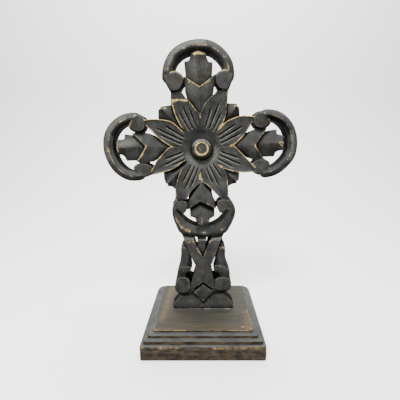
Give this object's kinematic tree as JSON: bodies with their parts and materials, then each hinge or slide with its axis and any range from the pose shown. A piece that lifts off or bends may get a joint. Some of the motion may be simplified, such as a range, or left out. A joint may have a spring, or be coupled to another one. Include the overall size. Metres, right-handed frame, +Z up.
{
  "type": "carved wooden standing cross",
  "caption": "Carved and pierced wooden cross with a petalled flower at its centre and ringed leafy arms, standing on a square stepped base.",
  "frame": {"origin": "middle of the base's underside", "axes": "+Z up, the carved front faces -Y, +X to the right seen from the front"},
  "size_m": [0.2494, 0.152, 0.3824],
  "materials": {
    "painted_board": "charcoal paint rubbed through to tan wood on the raised edges",
    "worn_base": "thin grey-brown paint, worn along the grain and the step edges"
  },
  "bodies": {
    "root": {"cross": "painted_board", "base": "worn_base"}
  },
  "joints": []
}
